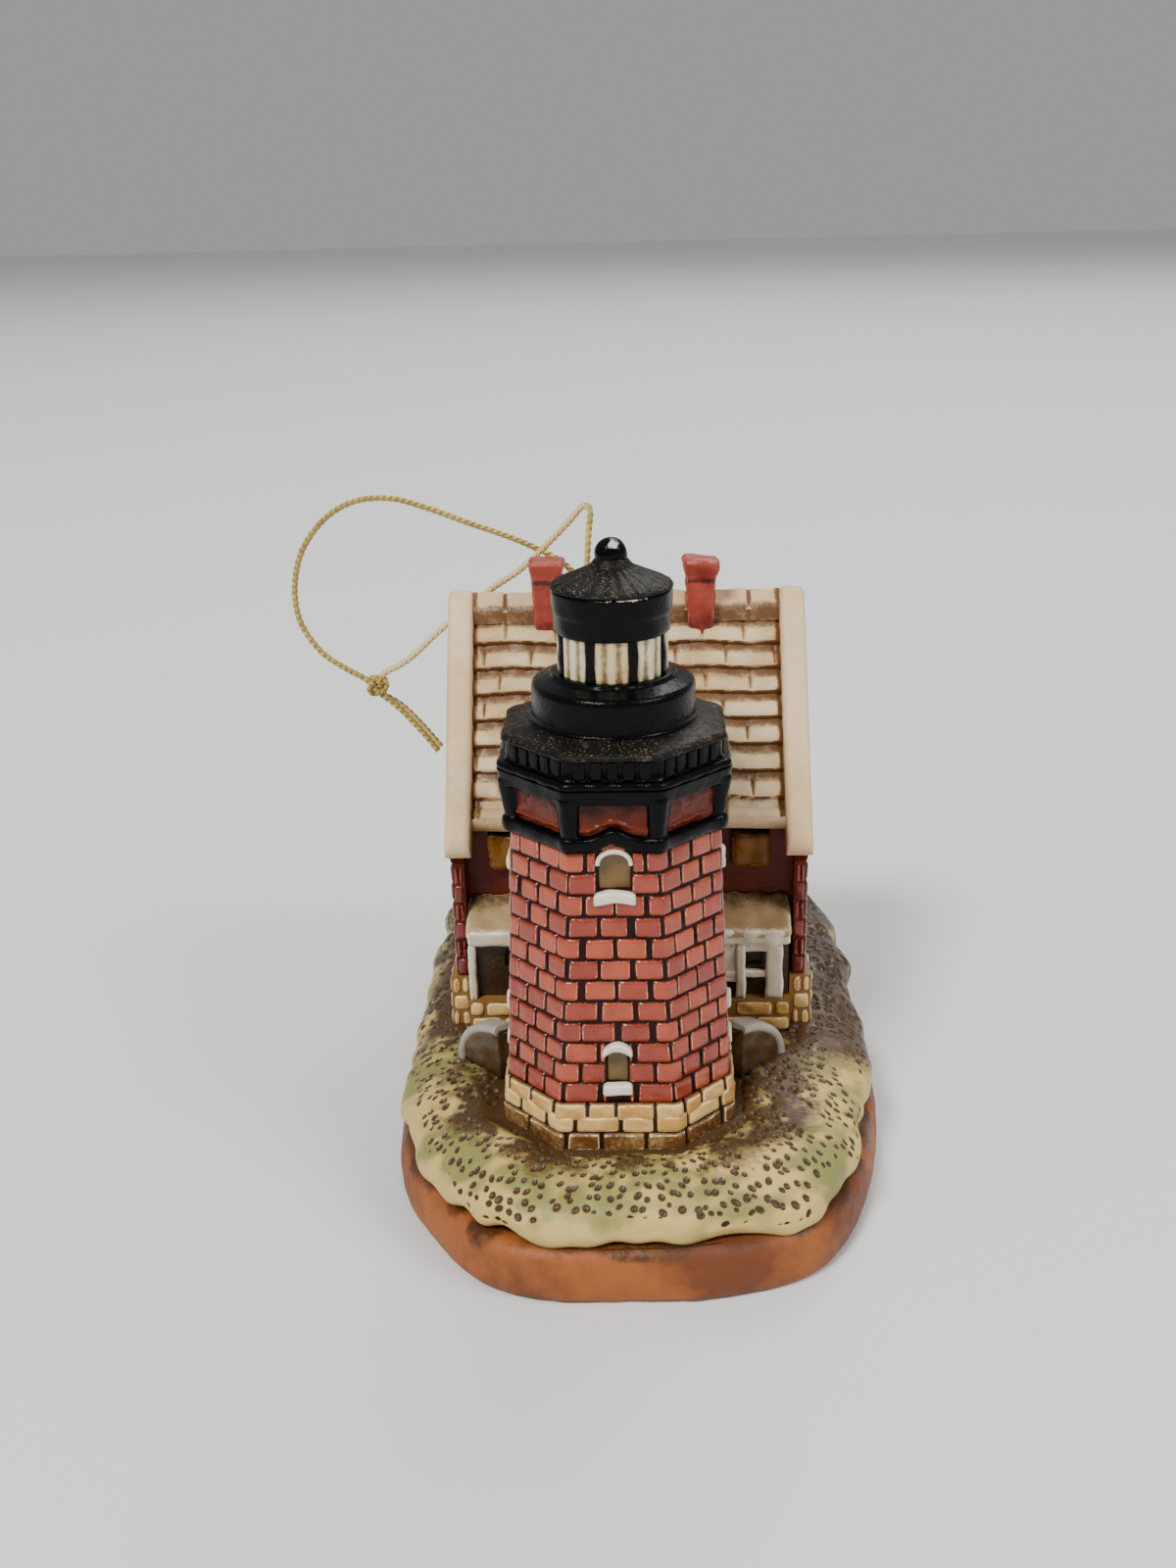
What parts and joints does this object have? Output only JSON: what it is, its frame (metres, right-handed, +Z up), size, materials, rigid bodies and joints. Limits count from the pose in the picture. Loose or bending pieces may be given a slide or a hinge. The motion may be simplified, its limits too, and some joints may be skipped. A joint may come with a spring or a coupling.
{
  "type": "hanging lighthouse ornament",
  "caption": "Hollow painted ceramic hanging ornament: an octagonal brick lighthouse before a gabled keeper's house on a grassy mound, with a swinging cord loop.",
  "frame": {"origin": "centre of the box of the ceramic body, at the underside of the plinth on which it stands", "axes": "+X to the right seen from the tower's front, +Y from the tower towards the house behind it, +Z up"},
  "size_m": [0.0747, 0.089, 0.0755],
  "materials": {
    "terracotta": "matt stained terracotta colour",
    "grass": "matt green and cream with brown wash in the pits",
    "stone_cream": "satin cream stone with brown wash",
    "brick": "glossy pink-red brick with dark mortar lines",
    "wall_brick": "glossy red brick with dark mortar lines",
    "brown_glaze": "glossy olive-brown wash",
    "white_paint": "satin off-white",
    "black_paint": "satin black with brownish dust on top faces",
    "panel_glaze": "glossy reddish brown",
    "lantern_cream": "satin cream with brown wash",
    "shingle": "matt cream with brown wash",
    "chimney_red": "satin red",
    "porch_tan": "satin brown wash over cream",
    "coping_grey": "satin light grey",
    "gold_cord": "twisted metallic gold thread"
  },
  "bodies": {
    "ornament": {"plinth": "terracotta", "grass_mound": "grass", "tower_foundation": "stone_cream", "tower_shaft": "brick", "tower_window_panes": "brown_glaze", "tower_window_lintels": "white_paint", "tower_window_sills": "white_paint", "corbel_frame": "black_paint", "corbel_panels": "panel_glaze", "gallery_deck": "black_paint", "gallery_parapet": "black_paint", "gallery_balusters": "black_paint", "gallery_rail": "black_paint", "watch_room_drum": "black_paint", "lantern_glazing": "lantern_cream", "lantern_mullions": "black_paint", "lantern_eave_band": "black_paint", "lantern_roof": "black_paint", "finial_ball": "black_paint", "house_foundation": "stone_cream", "house_walls": "wall_brick", "house_window_panes": "brown_glaze", "house_window_trims": "white_paint", "front_windows": "brown_glaze", "roof_front_slope": "shingle", "roof_back_slope": "shingle", "roof_ridge": "shingle", "gable_board_left": "white_paint", "gable_board_right": "white_paint", "chimney_left": "chimney_red", "chimney_right": "chimney_red", "porch_base": "stone_cream", "porch_wall": "brown_glaze", "porch_posts": "white_paint", "porch_rails": "white_paint", "porch_beam": "white_paint", "porch_roof": "porch_tan", "step_wall_left": "brown_glaze", "step_wall_right": "brown_glaze", "step_coping_left": "coping_grey", "step_coping_right": "coping_grey"},
    "hanger": {"cord_front_strand": "gold_cord", "cord_back_strand": "gold_cord", "cord_knot": "gold_cord"}
  },
  "joints": [
    {"name": "loop_swing", "type": "hinge", "parent": "ornament", "child": "hanger", "pos_m": [-0.006, 0.0153, 0.0596], "axis": [0, 1, 0], "range_deg": [0, 50]}
  ]
}
